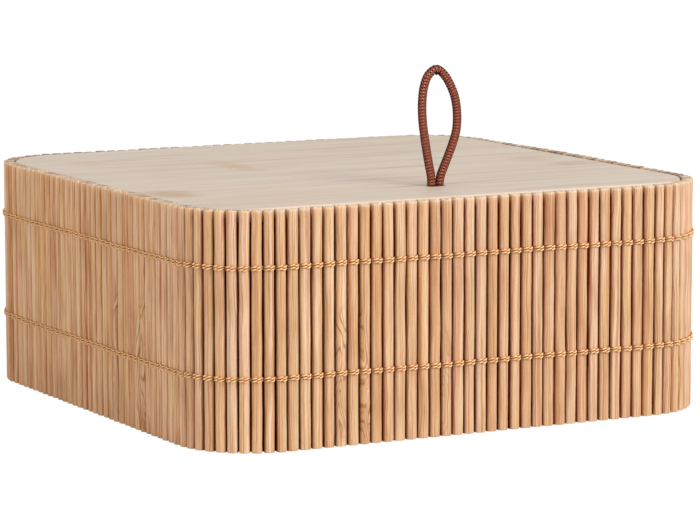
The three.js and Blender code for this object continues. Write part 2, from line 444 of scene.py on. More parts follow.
def bamboo():
    """Split bamboo: every stick has its own tone, and streaks, fibres and pores run along it.

    Wild sticks have a flame-like figure, cut ends are paler, and painted shade darkens gaps and ends.
    """
    s = Surface("bamboo_stick")
    across, seed, height = s.parts(s.attribute("stick_place").outputs["Vector"])
    tone = s.attribute("stick_tone").outputs["Fac"]
    wild = s.attribute("stick_wild").outputs["Fac"]
    end = s.attribute("stick_end").outputs["Fac"]
    gap_shade = s.attribute("stick_gap_shade").outputs["Fac"]
    end_shade = s.attribute("stick_end_shade").outputs["Fac"]

    drift = s.maths("SUBTRACT", s.noise(s.vector(seed, s.times(height, 0.05), 0.0)), 0.5)
    swirl = s.maths("SUBTRACT", s.noise(
        s.vector(s.plus(seed, 50.0), s.times(height, 0.045), s.times(across, 0.3)), 1.0), 0.5)
    grain = s.plus(s.plus(across, s.times(drift, 1.8)), s.times(s.times(swirl, wild), 7.0))

    def along(across_scale, offset, height_scale, detail=2.0, roughness=0.5):
        place = s.vector(s.times(grain, across_scale), s.plus(seed, offset),
                         s.times(height, height_scale))
        return s.noise(place, detail, roughness)

    hue = s.plus(along(0.95, 0.0, 0.009, 2.0, 0.6), s.times(tone, 0.1))
    streaks = along(2.6, 30.0, 0.012, 3.0, 0.6)
    lines = along(4.4, 60.0, 0.014)
    fibres = along(10.0, 90.0, 0.12, 3.0, 0.6)
    pores = along(9.0, 120.0, 0.5)
    blotch = s.noise(s.vector(seed, s.times(height, 0.045), s.times(across, 0.25)), 2.0)

    colour = s.ramp(hue, [
        (0.38, srgb(226, 185, 136)), (0.48, srgb(232, 195, 150)), (0.55, srgb(236, 203, 167)),
        (0.62, srgb(235, 197, 163)), (0.74, srgb(222, 168, 131)),
    ])

    fair = s.node("TexWhiteNoise", {"W": seed}, noise_dimensions="1D").outputs[0]
    for factor, stops in (
            (fair, [(0.0, (0.87, 0.77, 0.68, 1)), (0.35, (1.0, 0.96, 0.92, 1)),
                    (0.7, (1.04, 1.05, 1.08, 1)), (1.0, (1.02, 1.06, 1.16, 1))]),
            (streaks, [(0.38, (0.74, 0.58, 0.46, 1)), (0.47, (0.97, 0.95, 0.92, 1)),
                       (0.56, (1.0, 1.02, 1.05, 1)), (0.66, (1.04, 1.11, 1.22, 1))]),
            (blotch, [(0.3, (0.84, 0.77, 0.7, 1)), (0.55, (1, 1, 1, 1))]),
            (fibres, [(0.32, (0.82, 0.75, 0.69, 1)), (0.58, (1, 1, 1, 1))])):
        colour = s.shade(colour, factor, stops)
    colour = s.mix(s.times(s.window(lines, 0.57, 0.64), 0.55), colour, srgb(170, 104, 64))

    # The flames: dark contour lines of a slow noise.
    figure = s.noise(s.vector(s.times(grain, 0.22), s.plus(seed, 150.0), s.times(height, 0.03)), 1.0)
    flames = s.window(s.maths("SINE", s.times(figure, 80.0)), 0.5, 0.98)
    colour = s.mix(s.times(s.times(flames, s.window(wild, 0.15, 0.6)), 0.6), colour,
                   srgb(138, 82, 44))

    colour = s.mix(s.times(s.window(pores, 0.66, 0.78), 0.5), colour, srgb(124, 78, 46))
    # Painted shade: the gaps and the flanks below the crowns turn dark red-brown.
    colour = s.mix(s.times(gap_shade, 0.94), colour, (0.25, 0.036, 0.006, 1))

    # The cut ends show bundles of fibres, and painted shade darkens them, most at the sides of each
    # end.
    bundles = s.noise(s.node("TexCoord").outputs["Object"], 1.0, 0.5, 1700.0)
    cut = s.ramp(bundles, [(0.36, srgb(180, 146, 116)), (0.5, srgb(230, 204, 176)),
                           (0.64, srgb(246, 228, 206))])
    cut = s.mix(end_shade, cut, (0.4, 0.33, 0.28, 1), "MULTIPLY")
    rim = s.window(s.maths("ABSOLUTE", across), 1.1, 1.8)
    cut = s.mix(s.times(rim, end_shade), cut, srgb(104, 76, 58))
    colour = s.mix(s.times(s.window(end, 0.1, 0.8), 0.5), colour, srgb(240, 214, 188))
    colour = s.mix(s.window(end, 0.8, 0.92), colour, cut)
    return s.finish(colour, s.plus(s.times(fibres, 0.7), s.times(streaks, 0.6)), 0.14,
                    roughness=0.5, specular=0.22, shine=s.maths("SUBTRACT", 1.0, gap_shade))


def thread():
    """Waxed two-ply thread: a painted highlight on the ply crests, painted shade where they meet or
    dip.
    """
    s = Surface("binding_thread")
    along, around, crest = s.parts(s.attribute("ply_place").outputs["Vector"])
    dip_shade = s.attribute("ply_dip_shade").outputs["Fac"]
    hairs = s.noise(s.vector(s.times(along, 2.2), s.times(around, 1.6), 0.0), 2.0)
    stretch = s.noise(s.vector(s.times(along, 0.08), 7.0, 0.0), 2.0)
    pale = s.mix(stretch, srgb(255, 208, 144), srgb(255, 228, 184))
    # Painted highlight: pale on the outer side of each ply, and brown as painted shade on the rest.
    colour = s.mix(s.window(crest, 0.35, 0.8), srgb(196, 114, 52), pale)
    # Painted shade where the thread dips into the gaps between the sticks.
    colour = s.mix(s.times(dip_shade, 0.85), colour, srgb(134, 66, 28))
    colour = s.shade(colour, hairs, [(0.3, (0.84, 0.78, 0.7, 1)), (0.6, (1, 1, 1, 1))])
    return s.finish(colour, hairs, 0.05, roughness=0.5, specular=0.15,
                    shine=s.maths("SUBTRACT", 1.0, dip_shade))


# Warm and grey places on the lid: centre across and along, reach across and along, share and tint.
LID_SPOTS = (
    (-60, -62, 48, 30, 0.35, (206, 174, 146)),
    (-30, 27, 10, 25, 0.8, (188, 156, 116)),
    (-88, -42, 13, 20, 0.85, (176, 146, 108)),
    (-74, 60, 12, 17, 0.5, (192, 162, 134)),
    (35, 55, 26, 6, 0.45, (168, 136, 112)),
    (78, -4, 13, 19, 0.55, (182, 142, 120)),
    (84, -24, 12, 11, 0.5, (152, 140, 120)),
)


def lid_wood():
    """The lid: a pale, sanded board with fine grain along X and a few warm or dark places."""
    s = Surface("lid_wood")
    x, y, z = s.place()
    waver = s.times(s.maths("SUBTRACT", s.noise(s.vector(s.times(x, 0.018), s.times(y, 0.03), 0.0)),
                            0.5), 3.0)
    row = s.plus(s.plus(y, waver), s.times(z, 0.8))

    def along(x_scale, row_scale, offset, detail=2.0, roughness=0.5):
        return s.noise(s.vector(s.times(x, x_scale), s.times(row, row_scale), offset),
                       detail, roughness)

    bands = along(0.007, 0.09, 3.0, 3.0, 0.6)
    stripes = along(0.012, 0.34, 9.0, 3.0, 0.6)
    lines = along(0.012, 0.3, 21.0, 3.0, 0.65)
    fibres = along(0.07, 2.6, 5.0, 3.0, 0.6)
    flecks = along(0.09, 1.2, 17.0, 1.0)
    streaks = along(0.03, 0.8, 31.0)
    clouds = s.noise(s.vector(s.times(x, 0.03), s.times(y, 0.05), 1.0), 2.0)

    colour = s.ramp(bands, [
        (0.34, srgb(196, 177, 160)), (0.5, srgb(203, 188, 172)), (0.66, srgb(206, 194, 181))])

    def tinted(amount, share, tint):
        nonlocal colour
        colour = s.mix(s.times(amount, share), colour, tint)

    def spot(centre_x, centre_y, reach_x, reach_y):
        """1 at a place on the lid, ragged and fading to 0 at its reach."""
        off_x = s.times(s.maths("SUBTRACT", x, centre_x), 1 / reach_x)
        off_y = s.times(s.maths("SUBTRACT", s.plus(y, s.times(stripes, 16.0)), centre_y + 8.0),
                        1 / reach_y)
        away = s.maths("SQRT", s.plus(s.times(off_x, off_x), s.times(off_y, off_y)))
        inside = s.window(s.plus(away, s.times(clouds, 0.8)), 1.4, 0.5)
        return s.times(inside, s.plus(s.times(s.window(streaks, 0.42, 0.56), 0.65), 0.35))

    tinted(s.window(clouds, 0.54, 0.72), 0.25, srgb(212, 184, 162))
    tinted(s.window(clouds, 0.44, 0.3), 0.3, srgb(186, 182, 168))
    tinted(s.window(stripes, 0.54, 0.68), 0.25, srgb(184, 156, 134))
    tinted(s.window(lines, 0.58, 0.64), 0.4, srgb(158, 134, 112))
    for centre_x, centre_y, reach_x, reach_y, share, tint in LID_SPOTS:
        tinted(spot(centre_x, centre_y, reach_x, reach_y), share, srgb(*tint))

    # The front edge is warm, and a painted highlight makes it palest at its very rim.
    tinted(s.window(y, 8.0 - LID_HALF, 1.0 - LID_HALF), 0.5, srgb(228, 194, 162))
    colour = s.shade(colour, fibres, [(0.3, (0.92, 0.9, 0.88, 1)), (0.6, (1, 1, 1, 1))])
    tinted(s.window(flecks, 0.68, 0.78), 0.35, srgb(140, 108, 84))
    # Painted highlight along the front rim.
    tinted(s.window(y, 4.5 - LID_HALF, 3.0 - LID_HALF), 0.7, srgb(248, 222, 198))

    # One dark line runs past the cord hole and fades to both sides; to the left it is the loop's
    # painted shadow.
    bend = s.times(s.maths("SUBTRACT", s.noise(s.vector(s.times(x, 0.03), 0.0, 40.0)), 0.5), 4.0)
    off_line = s.maths("ABSOLUTE", s.maths("SUBTRACT", s.plus(y, bend), PIVOT.y + 3.0))
    left = s.times(s.window(x, PIVOT.x - 34.0, PIVOT.x - 4.0), s.window(x, PIVOT.x + 2.0, PIVOT.x))
    right = s.times(s.window(x, PIVOT.x, PIVOT.x + 2.0), s.window(x, PIVOT.x + 38.0, PIVOT.x + 4.0))
    near = s.window(off_line, 1.1, 0.2)
    tinted(s.times(near, s.plus(s.times(left, 0.6), s.times(right, 0.4))), 1.0, srgb(96, 76, 58))
    return s.finish(colour, s.plus(fibres, s.times(stripes, 0.5)), 0.05,
                    roughness=0.55, specular=0.35)


def light_grain(s, run, row, band_scale, fibre_scale, offset, tones):
    """Light wood with its grain along the run: the colour, and the fibres for the bump."""
    bands = s.noise(s.vector(s.times(run, 0.01), s.times(row, band_scale), offset), 3.0, 0.6)
    fibres = s.noise(s.vector(s.times(run, 0.06), s.times(row, fibre_scale), offset + 2.0), 3.0, 0.6)
    colour = s.ramp(bands, [
        (level, srgb(*tone)) for level, tone in zip((0.3, 0.52, 0.72), tones)])
    return s.shade(colour, fibres, [(0.3, (0.86, 0.82, 0.78, 1)), (0.6, (1, 1, 1, 1))]), fibres


def ply_wood():
    """The liner: bare light wood inside, and painted shade, dark red-brown, behind the sticks."""
    s = Surface("bare_ply")
    run, up, behind = s.parts(s.attribute("board_place").outputs["Vector"])
    grained, fibres = light_grain(s, run, up, 0.16, 2.4, 2.0,
                                  ((196, 162, 122), (214, 184, 146), (224, 198, 164)))
    # Painted shade on the outer face, which shows only through the gaps between the sticks.
    back_shade = s.window(behind, 0.9, 1.0)
    lined = s.mix(back_shade, grained, srgb(112, 46, 26))
    return s.finish(lined, fibres, 0.05, roughness=0.62, specular=0.3,
                    shine=s.maths("SUBTRACT", 1.0, back_shade))


def floor_wood():
    """The bottom board, whose grain runs along X."""
    s = Surface("floor_ply")
    x, y, z = s.place()
    row = s.plus(y, s.times(z, 1.7))
    grained, fibres = light_grain(s, x, row, 0.12, 2.2, 12.0,
                                  ((198, 166, 128), (216, 188, 152), (226, 202, 170)))
    return s.finish(grained, fibres, 0.05, roughness=0.62, specular=0.3)


def cord_sheath():
    """The cord's braided sheath: painted highlight on the yarns, painted shade between and at the
    sides.
    """
    s = Surface("elastic_cord")
    crest = s.attribute("braid_height").outputs["Fac"]
    along, around, facing = s.parts(s.attribute("braid_place").outputs["Vector"])
    hairs = s.noise(s.vector(s.times(along, 6.0), s.times(around, 3.0), 0.0), 2.0)
    patches = s.noise(s.vector(s.times(along, 0.9), s.times(around, 0.8), 0.0), 2.0)
    # Painted shade in the braid's valleys, and a painted highlight on its crests.
    colour = s.ramp(crest, [
        (0.3, srgb(54, 22, 15)), (0.6, srgb(124, 64, 49)), (0.88, srgb(222, 142, 117))])
    colour = s.shade(colour, hairs, [(0.3, (0.8, 0.76, 0.74, 1)), (0.62, (1.04, 1.02, 1, 1))])
    colour = s.shade(colour, patches, [(0.35, (0.8, 0.7, 0.66, 1)), (0.65, (1.08, 1.08, 1.06, 1))])
    # Painted shade at the sides of the cord.
    colour = s.mix(s.window(facing, 0.9, 0.5), colour, (0.36, 0.28, 0.26, 1), "MULTIPLY")
    return s.finish(colour, hairs, 0.04, roughness=0.75, specular=0.12)


def white_stage():
    """A pale floor that keeps the object's shadow, and is white to the camera."""
    s = Surface("white_stage")
    s.shader.inputs["Base Color"].default_value = (0.82, 0.82, 0.82, 1)
    s.shader.inputs["Roughness"].default_value = 0.9
    s.shader.inputs["Specular IOR Level"].default_value = 0.0
    glow = s.node("Emission", {"Color": (1, 1, 1, 1), "Strength": 1.04}).outputs[0]
    seen = s.times(s.node("LightPath").outputs["Is Camera Ray"], 0.95)
    mixed = s.node("MixShader", {0: seen, 1: s.shader.outputs[0], 2: glow}).outputs[0]
    s.tree.links.new(mixed, s.tree.nodes["Material Output"].inputs["Surface"])
    return s.material


# Camera, stage and light

def way_to(azimuth, elevation):
    """The way out from the box at an azimuth, counted from its front, and an elevation."""
    return Vector((
        math.sin(azimuth) * math.cos(elevation),
        -math.cos(azimuth) * math.cos(elevation),
        math.sin(elevation),
    ))


def make_camera():
    """The camera of the photograph."""
    back = way_to(CAMERA_AZIMUTH, CAMERA_ELEVATION)
    level = Vector((math.cos(CAMERA_AZIMUTH), math.sin(CAMERA_AZIMUTH), 0))
    right = Matrix.Rotation(CAMERA_ROLL, 3, back) @ level
    up = back.cross(right)
    data = bpy.data.cameras.new("camera")
    data.sensor_width = SENSOR_MM
    data.lens = FOCAL_PX / IMAGE_WIDTH_PX * SENSOR_MM
    camera = bpy.data.objects.new("camera", data)
    target = level * CAMERA_ASIDE + Vector((0, 0, CAMERA_TARGET_HEIGHT))
    turn = Matrix((right, up, back)).transposed().to_4x4()
    camera.matrix_world = Matrix.Translation((target + back * CAMERA_DISTANCE) * MM) @ turn
    bpy.context.scene.collection.objects.link(camera)
    bpy.context.scene.camera = camera


def make_stage():
    """The floor that the box stands on, a hair below its foot."""
    corners = ((-1, -1), (1, -1), (1, 1), (-1, 1))
    data = bpy.data.meshes.new("stage_floor")
    data.from_pydata([(x * STAGE_REACH, y * STAGE_REACH, -STAGE_DROP) for x, y in corners],
                     [], [(0, 1, 2, 3)])
    data.materials.append(white_stage())
    floor = bpy.data.objects.new("stage_floor", data)
    bpy.context.scene.collection.objects.link(floor)


def make_world():
    """White to the camera, glossy and transmission rays, and a soft grey fill for all others."""
    world = bpy.data.worlds.new("studio")
    world.use_nodes = True
    tree = world.node_tree
    plain = tree.nodes["Background"]
    plain.inputs["Color"].default_value = (1, 1, 1, 1)
    plain.inputs["Strength"].default_value = WORLD_FILL
    seen = tree.nodes.new("ShaderNodeBackground")
    seen.inputs["Color"].default_value = (1, 1, 1, 1)
    seen.inputs["Strength"].default_value = 1.0
    path = tree.nodes.new("ShaderNodeLightPath")
    share = path.outputs["Is Camera Ray"]
    for kind in ("Is Glossy Ray", "Is Transmission Ray"):
        either = tree.nodes.new("ShaderNodeMath")
        either.operation = "MAXIMUM"
        tree.links.new(share, either.inputs[0])
        tree.links.new(path.outputs[kind], either.inputs[1])
        share = either.outputs[0]
    mixed = tree.nodes.new("ShaderNodeMixShader")
    tree.links.new(share, mixed.inputs[0])
    tree.links.new(plain.outputs[0], mixed.inputs[1])
    tree.links.new(seen.outputs[0], mixed.inputs[2])
    tree.links.new(mixed.outputs[0], tree.nodes["World Output"].inputs["Surface"])
    bpy.context.scene.world = world


def lamp(name, azimuth, elevation, distance, size, level, tint=(1, 1, 1)):
    """A square soft lamp, aimed at the box, that lights a facing white surface to the given level."""
    away = way_to(math.radians(azimuth), math.radians(elevation))
    data = bpy.data.lights.new(name, "AREA")
    data.size = size
    data.energy = level * math.pi ** 2 * distance ** 2
    data.color = tint
    made = bpy.data.objects.new(name, data)
    made.location = away * distance + Vector((0, 0, LAMP_AIM_HEIGHT))
    made.rotation_mode = "QUATERNION"
    made.rotation_quaternion = away.to_track_quat("Z", "Y")
    bpy.context.scene.collection.objects.link(made)


# The cord

def cord_path(points, step):
    """Points a step apart on the centripetal curve through the given points, as in the frame."""
    known = np.array([2 * points[0] - points[1], *points, 2 * points[-1] - points[-2]])
    dense = []
    for index in range(1, len(known) - 2):
        before, start, end, after = known[index - 1:index + 3]
        spans = [max(np.linalg.norm(b - a) ** 0.5, 1e-4)
                 for a, b in ((before, start), (start, end), (end, after))]
        leave = ((start - before) / spans[0] - (end - before) / (spans[0] + spans[1])
                 + (end - start) / spans[1]) * spans[1]
        arrive = ((end - start) / spans[1] - (after - start) / (spans[1] + spans[2])
                  + (after - end) / spans[2]) * spans[1]
        t = np.linspace(0, 1, 60, endpoint=False)[:, None]
        dense.append(start + leave * t
                     + (-3 * start + 3 * end - 2 * leave - arrive) * t ** 2
                     + (2 * start - 2 * end + leave + arrive) * t ** 3)
    dense = np.concatenate([*dense, known[-2:-1]])
    run = run_along(dense)
    wanted = np.linspace(0, run[-1], int(run[-1] / step) + 1)
    return np.stack([np.interp(wanted, run, dense[:, axis]) for axis in range(3)], axis=1)


def braid(angle, along):
    """Height of a ribbed braid, from 0 to 1: yarns that pass over and under, and ribs round it."""
    forward = BRAID_CARRIERS * angle / (2 * math.pi) + along / BRAID_PITCH
    backward = BRAID_CARRIERS * angle / (2 * math.pi) - along / BRAID_PITCH
    first, second = np.floor(forward), np.floor(backward)
    across_one, across_two = forward - first, backward - second
    even = (first + second) % 2 == 0
    over = np.where(even, across_one, across_two)
    along_over = np.where(even, across_two, across_one)
    arch = 1 - YARN_ARCH + YARN_ARCH * np.sin(math.pi * along_over)
    yarns = np.sin(math.pi * over) ** YARN_POWER * arch
    ribs = (1 + np.cos(2 * math.pi * along / RIB_PITCH + RIB_SLANT * np.sin(angle))) / 2
    return yarns * (1 - RIB_SHARE) + ribs * RIB_SHARE


def fold(run, angle, place):
    """A pinch on the inner side of the cord, where it is folded over at the top of the loop."""
    off = (run - place)[:, None]
    inner = np.clip(np.cos(angle[None, :] - FOLD_SIDE), 0, 1) ** FOLD_POWER
    bulge = np.exp(-(off / BULGE_WIDTH) ** 2)
    dents = DENT_SHARE * np.exp(-((np.abs(off) - DENT_OFF) / DENT_WIDTH) ** 2)
    return FOLD_DEPTH * (bulge - dents) * inner


def cord_body(path, sideways, closed=False, fold_at=None):
    """Points, faces, braid heights and places of a braided cord along a path."""
    along = way_along(path, closed)
    up = normalised(np.cross(along, np.array(sideways, float)))
    across = np.cross(up, along)
    run = run_along(path)
    angle = 2 * math.pi * np.arange(CORD_SIDES) / CORD_SIDES
    heights = braid(angle[None, :], run[:, None])
    radius = CORD_RADIUS - BRAID_DEPTH * (BRAID_LEVEL - heights)
    if fold_at is not None:
        pinch = fold(run, angle, fold_at)
        radius = radius + pinch
        # Painted shade: the braid's colour is darkened in the dents of the fold.
        heights = heights * np.clip(1 + DENT_SHADE * np.minimum(pinch, 0) / FOLD_DEPTH, 0.2, 1)
    if not closed:
        from_end = np.clip(np.minimum(run, run[-1] - run) / CORD_END_ROUNDING, 0, 1)
        rounding = np.sqrt(np.clip(1 - (1 - from_end) ** 2, 0.02, 1))
        radius = radius * rounding[:, None]
    outward = spokes(across, up, angle)
    points, faces = skin(path[:, None, :] + outward * radius[:, :, None], closed)
    side_shade_way = np.array([math.sin(SIDE_SHADE_AZIMUTH), -math.cos(SIDE_SHADE_AZIMUTH), 0])
    places = np.stack([
        np.repeat(run, CORD_SIDES), np.tile(angle * CORD_RADIUS, len(run)),
        np.abs(outward @ side_shade_way).ravel(),
    ], axis=1)
    return points, faces, heights.ravel(), places


def make_cord():
    """The loop above the lid, and the legs and stopper knot that hold it under the lid."""
    sheath = cord_sheath()
    route = [(LEG_ENDS[0], LOOP_START), *LOOP_ROUTE, (LEG_ENDS[1], LOOP_START)]
    points = [np.array([PIVOT.x + x, PIVOT.y, LID_TOP + up]) for x, up in route]
    path = cord_path(points, CORD_STEP)
    top = np.argmax(path[:, 2]) * np.linalg.norm(path[1] - path[0])
    body_points, faces, heights, places = cord_body(path, (0, 1, 0), fold_at=top)
    loop = piece("elastic_loop", body_points, faces, sheath, body=None)
    note(loop, "braid_height", heights)
    note(loop, "braid_place", places)
    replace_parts(loop, "pull_loop")
    knot = make_knot(sheath)
    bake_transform(loop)


def make_knot(sheath):
    """The stopper knot under the lid, with the legs that lead down to it and its two tails."""
    knot_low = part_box("cord_knot")[0] / MM
    middle = knot_low.z + KNOT_PITCH + CORD_RADIUS
    turns = np.linspace(0, 2 * math.pi, 360, endpoint=False)
    ring = np.stack([
        PIVOT.x + KNOT_PITCH * (np.sin(turns) + 2 * np.sin(2 * turns)),
        PIVOT.y + KNOT_PITCH * (np.cos(turns) - 2 * np.cos(2 * turns)),
        middle - KNOT_PITCH * np.sin(3 * turns),
    ], axis=1)
    bodies = [cord_body(ring, (0, 0, 1), closed=True)]
    for hand, leg_end in zip((-1, 1), LEG_ENDS):
        x = PIVOT.x + leg_end
        leg = [np.array([x, PIVOT.y, z]) for z in np.linspace(middle, LID_TOP + LEG_TOP, 5)]
        bodies.append(cord_body(cord_path(leg, CORD_STEP), (0, 1, 0)))
        tail = [np.array([PIVOT.x + hand * out, PIVOT.y + back, middle - down])
                for out, back, down in TAIL_ROUTE]
        bodies.append(cord_body(cord_path(tail, CORD_STEP), (0, 0, 1)))
    points, faces = joined([body[:2] for body in bodies])
    knot = piece("stopper_knot", points, faces, sheath, "lid")
    note(knot, "braid_height", np.concatenate([body[2] for body in bodies]))
    note(knot, "braid_place", np.concatenate([body[3] for body in bodies]))
    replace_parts(knot, "cord_knot")
    return knot


# Sticks

def stick_section(width):
    """Across and out from the middle of the back, over the crown from one side to the other."""
    angles = np.linspace(math.pi, 0, CROWN_POINTS)
    cosine, sine = np.cos(angles), np.sin(angles)
    across = width / 2 * np.sign(cosine) * np.abs(cosine) ** CROWN_POWER
    out = STICK_THICKNESS - STICK_RISE + STICK_RISE * np.abs(sine) ** CROWN_POWER
    back = width / 2 - STICK_BACK_BEVEL
    return np.concatenate([
        [(-back, -STICK_SUNK)], np.stack([across, out], axis=1), [(back, -STICK_SUNK)]])


def wander(heights, size):
    """A smooth random offset along a stick, of the given typical size."""
    lengths = chance.uniform(*WAVE_LENGTHS, WAVES)
    phases = chance.uniform(0, 2 * math.pi, WAVES)
    sizes = chance.normal(0, 1, WAVES) * np.sqrt(lengths / WAVE_LENGTHS[1])
    return size * (sizes[:, None] * np.sin(heights[None, :] * 2 * math.pi / lengths[:, None]
                                           + phases[:, None])).sum(axis=0)


def stick_notes(section, across, heights, top, wildness, end_shade):
    """What the material reads at each point of a stick."""
    shoulder = STICK_THICKNESS - STICK_RISE
    levels = np.repeat(heights, len(section))
    count = len(levels)
    seed = chance.uniform(0, 90)
    inside = np.tile(section[:, 1] < shoulder / 2, len(heights))
    top_end = np.where(inside, (END_REACH_INSIDE - top + levels) / END_ROUNDING,
                       1 - (top - levels) / END_REACH)
    above = np.tile(section[:, 1] - shoulder, len(heights))
    # Painted shade on the flanks below the crown, in the gaps, fading out near the top end.
    gap_shade = np.clip((GAP_SHADE_TOP - above) / GAP_SHADE_TOP, 0, 1)
    below_end = np.clip((top - levels - GAP_SHADE_START) / (GAP_SHADE_FULL - GAP_SHADE_START), 0, 1)
    return {
        "stick_place": np.stack([across.ravel(), np.full(count, seed), levels], axis=1),
        "stick_tone": np.full(count, chance.uniform(0, 1)),
        "stick_wild": wildness * np.clip((WILD_TOP - levels) / WILD_FADE, WILD_LEAST, 1),
        "stick_end": np.clip(np.maximum(top_end, 1 - levels / END_ROUNDING), 0, 1),
        "stick_gap_shade": gap_shade * gap_shade * (3 - 2 * gap_shade) * below_end,
        "stick_end_shade": np.full(count, np.clip(end_shade * (1 + chance.uniform(*END_SHADE_UNEVEN)), 0, 1)),
    }


def make_stick(origin, outward, width, wildness, rise, end_shade):
    """One stick standing at a place on the liner. Gives its body and what its material reads."""
    top = HEIGHT + rise + chance.uniform(*END_UNEVEN)
    edge, below_edge, body = END_STEPS
    heights = np.concatenate([
        [0, edge, below_edge],
        np.linspace(body, top - body, BODY_RINGS),
        [top - below_edge, top - edge, top],
    ])
    inset = np.zeros(len(heights))
    inset[:2] = FOOT_ROUNDING * np.array([1, ROUNDING_LEFT])
    inset[-2:] = END_ROUNDING * np.array([ROUNDING_LEFT, 1])
    lean = chance.normal(0, LEAN)
    aside = lean * (heights / top - 0.5) + wander(heights, ASIDE_WANDER)
    proud = wander(heights, PROUD_WANDER) + chance.normal(0, PROUD)
    roll = chance.normal(0, ROLL) + wander(heights, ROLL_WANDER)
    girth = 1 + wander(heights, GIRTH_WANDER)

    section = stick_section(width)
    middle = STICK_THICKNESS / 2
    across = section[None, :, 0] * (girth * (1 - inset / (width / 2)))[:, None]
    out = middle + (section[None, :, 1] - middle) * (1 - inset / middle)[:, None]
    front_share = np.clip(section[:, 1] / STICK_THICKNESS, 0, 1)[None, :]
    out = out + front_share * (proud[:, None] + roll[:, None] * across)
    tangent = np.array([-outward[1], outward[0]])
    flat = (np.array(origin) + (across + aside[:, None])[:, :, None] * tangent
            + out[:, :, None] * np.array(outward))
    rings = np.concatenate([
        flat, np.broadcast_to(heights[:, None, None], flat.shape[:2] + (1,))], axis=2)
    return skin(rings), stick_notes(section, across, heights, top, wildness, end_shade)


def make_stick_wall(name, stands, quarter_turns, stick):
    """The sticks of one wall or corner as one piece.

    A stand is a stick's place, way out, width, wildness, end rise and end shade.
    """
    made = [make_stick(*stand) for stand in stands]
    points, faces = joined([body for body, _ in made])
    wall = piece("sticks_" + name, turned(points, quarter_turns), faces, stick,
                 "case")
    for key in made[0][1]:
        note(wall, key, np.concatenate([notes[key] for _, notes in made]))
    return wall


def make_straight_sticks(stick):
    """The four flat walls. Each is made as the front one and then turned to its side."""
    for turn, side in enumerate(SIDES):
        stands = []
        for index in range(STICKS_PER_SIDE):
            gap = GAP_NARROW + (GAP_WIDE - GAP_NARROW) * chance.beta(*GAP_SPREAD)
            x = -STRAIGHT / 2 + (index + 0.5) * STICK_PITCH
            calm = CALM * chance.uniform(0, 1)
            rise = (END_RISE[side] + END_BOW[side] * math.cos(math.pi * x / STRAIGHT) ** 2
                    + END_TILT[side] * 2 * x / STRAIGHT)
            stands.append(((x, -LINER_HALF), (0, -1), STICK_PITCH - gap,
                           WILD_STICKS.get((side, index), calm), rise, END_SHADE[side]))
        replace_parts(make_stick_wall(side, stands, turn, stick), "wall_" + side)


def make_corner_sticks(stick):
    """The four round corners, whose ends lead over from one wall to the next."""
    flat = LINER_RADIUS * math.cos(CORNER_STEP / 2)
    room = 2 * (flat + STICK_THICKNESS - STICK_RISE) * math.tan(CORNER_STEP / 2)
    for turn, corner in enumerate(CORNERS):
        stands = []
        for index in range(STICKS_PER_CORNER):
            angle = -math.pi / 2 + (index + 0.5) * CORNER_STEP
            outward = (math.cos(angle), math.sin(angle))
            place = (CORNER_CENTRE + flat * outward[0], -CORNER_CENTRE + flat * outward[1])
            width = room - CORNER_GAP * chance.uniform(*CORNER_GAP_SHARES)
            share = (index + 0.5) / STICKS_PER_CORNER
            ahead, behind = SIDES[turn], SIDES[(turn + 1) % 4]
            rise = ((END_RISE[ahead] + END_TILT[ahead]) * (1 - share)
                    + (END_RISE[behind] - END_TILT[behind]) * share)
            end_shade = END_SHADE[ahead] * (1 - share) + END_SHADE[behind] * share
            stands.append((place, outward, width, CALM * chance.uniform(0, 1), rise, end_shade))
        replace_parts(make_stick_wall(corner, stands, turn, stick), "corner_" + corner)


# The liner and the boards

def make_liner():
    """Four flat and four bent boards behind the sticks, with a hairline joint between them."""
    outer, inner = LINER_HALF, INNER_HALF
    bevel, part = LINER_ROUNDING, LINER_ROUNDING * ROUNDING_LEFT
    section = np.array([
        (outer, 0), (outer, LINER_TOP - bevel), (outer - part, LINER_TOP - part),
        (outer - bevel, LINER_TOP), (inner + bevel, LINER_TOP),
        (inner + part, LINER_TOP - part), (inner, LINER_TOP - bevel), (inner, 0),
    ])
    behind = (section[:, 0] > outer - bevel / 2).astype(float)
    xs = np.linspace(-STRAIGHT / 2 + LINER_JOINT, STRAIGHT / 2 - LINER_JOINT, 5)
    flat = [[(x, -out, up) for out, up in section] for x in xs]
    angles = np.linspace(-math.pi / 2, 0, 19)
    centre = np.array([CORNER_CENTRE, -CORNER_CENTRE])
    bent = [[(*(centre + (out - CORNER_CENTRE) * heading(angle)), up) for out, up in section]
            for angle in angles]
    bodies, places = [], []
    for board in range(8):
        turn, corner = divmod(board, 2)
        rings, steps = (bent, angles * INNER_RADIUS) if corner else (flat, xs)
        points, faces = skin(np.array(rings))
        bodies.append((turned(points, turn), faces))
        run = np.repeat(steps, len(section)) + GRAIN_APART * board
        places.append(np.stack([run, points[:, 2], np.tile(behind, len(steps))], axis=1))
    points, faces = joined(bodies)
    liner = piece("liner_boards", points, faces, ply_wood(), "case", smooth=False)
    note(liner, "board_place", np.concatenate(places))


def rounded_square(half, radius, steps):
    """Corner points of a square outline with round corners, counterclockwise."""
    outline = []
    for turn in range(4):
        middle = math.radians(-45 + 90 * turn)
        centre = (half - radius) * math.sqrt(2) * heading(middle)
        outline += arc(centre, radius, middle - math.pi / 4, middle + math.pi / 4, steps)
    return outline


def slot_outline(radius, steps):
    """The cord hole: two half circles about the legs and the straight sides between them."""
    outline = []
    for hand, start in ((1, -math.pi / 2), (-1, math.pi / 2)):
        centre = np.array([PIVOT.x + hand * LEG_SPACING / 2, PIVOT.y])
        outline += arc(centre, radius, start, start + math.pi, steps)
    return outline


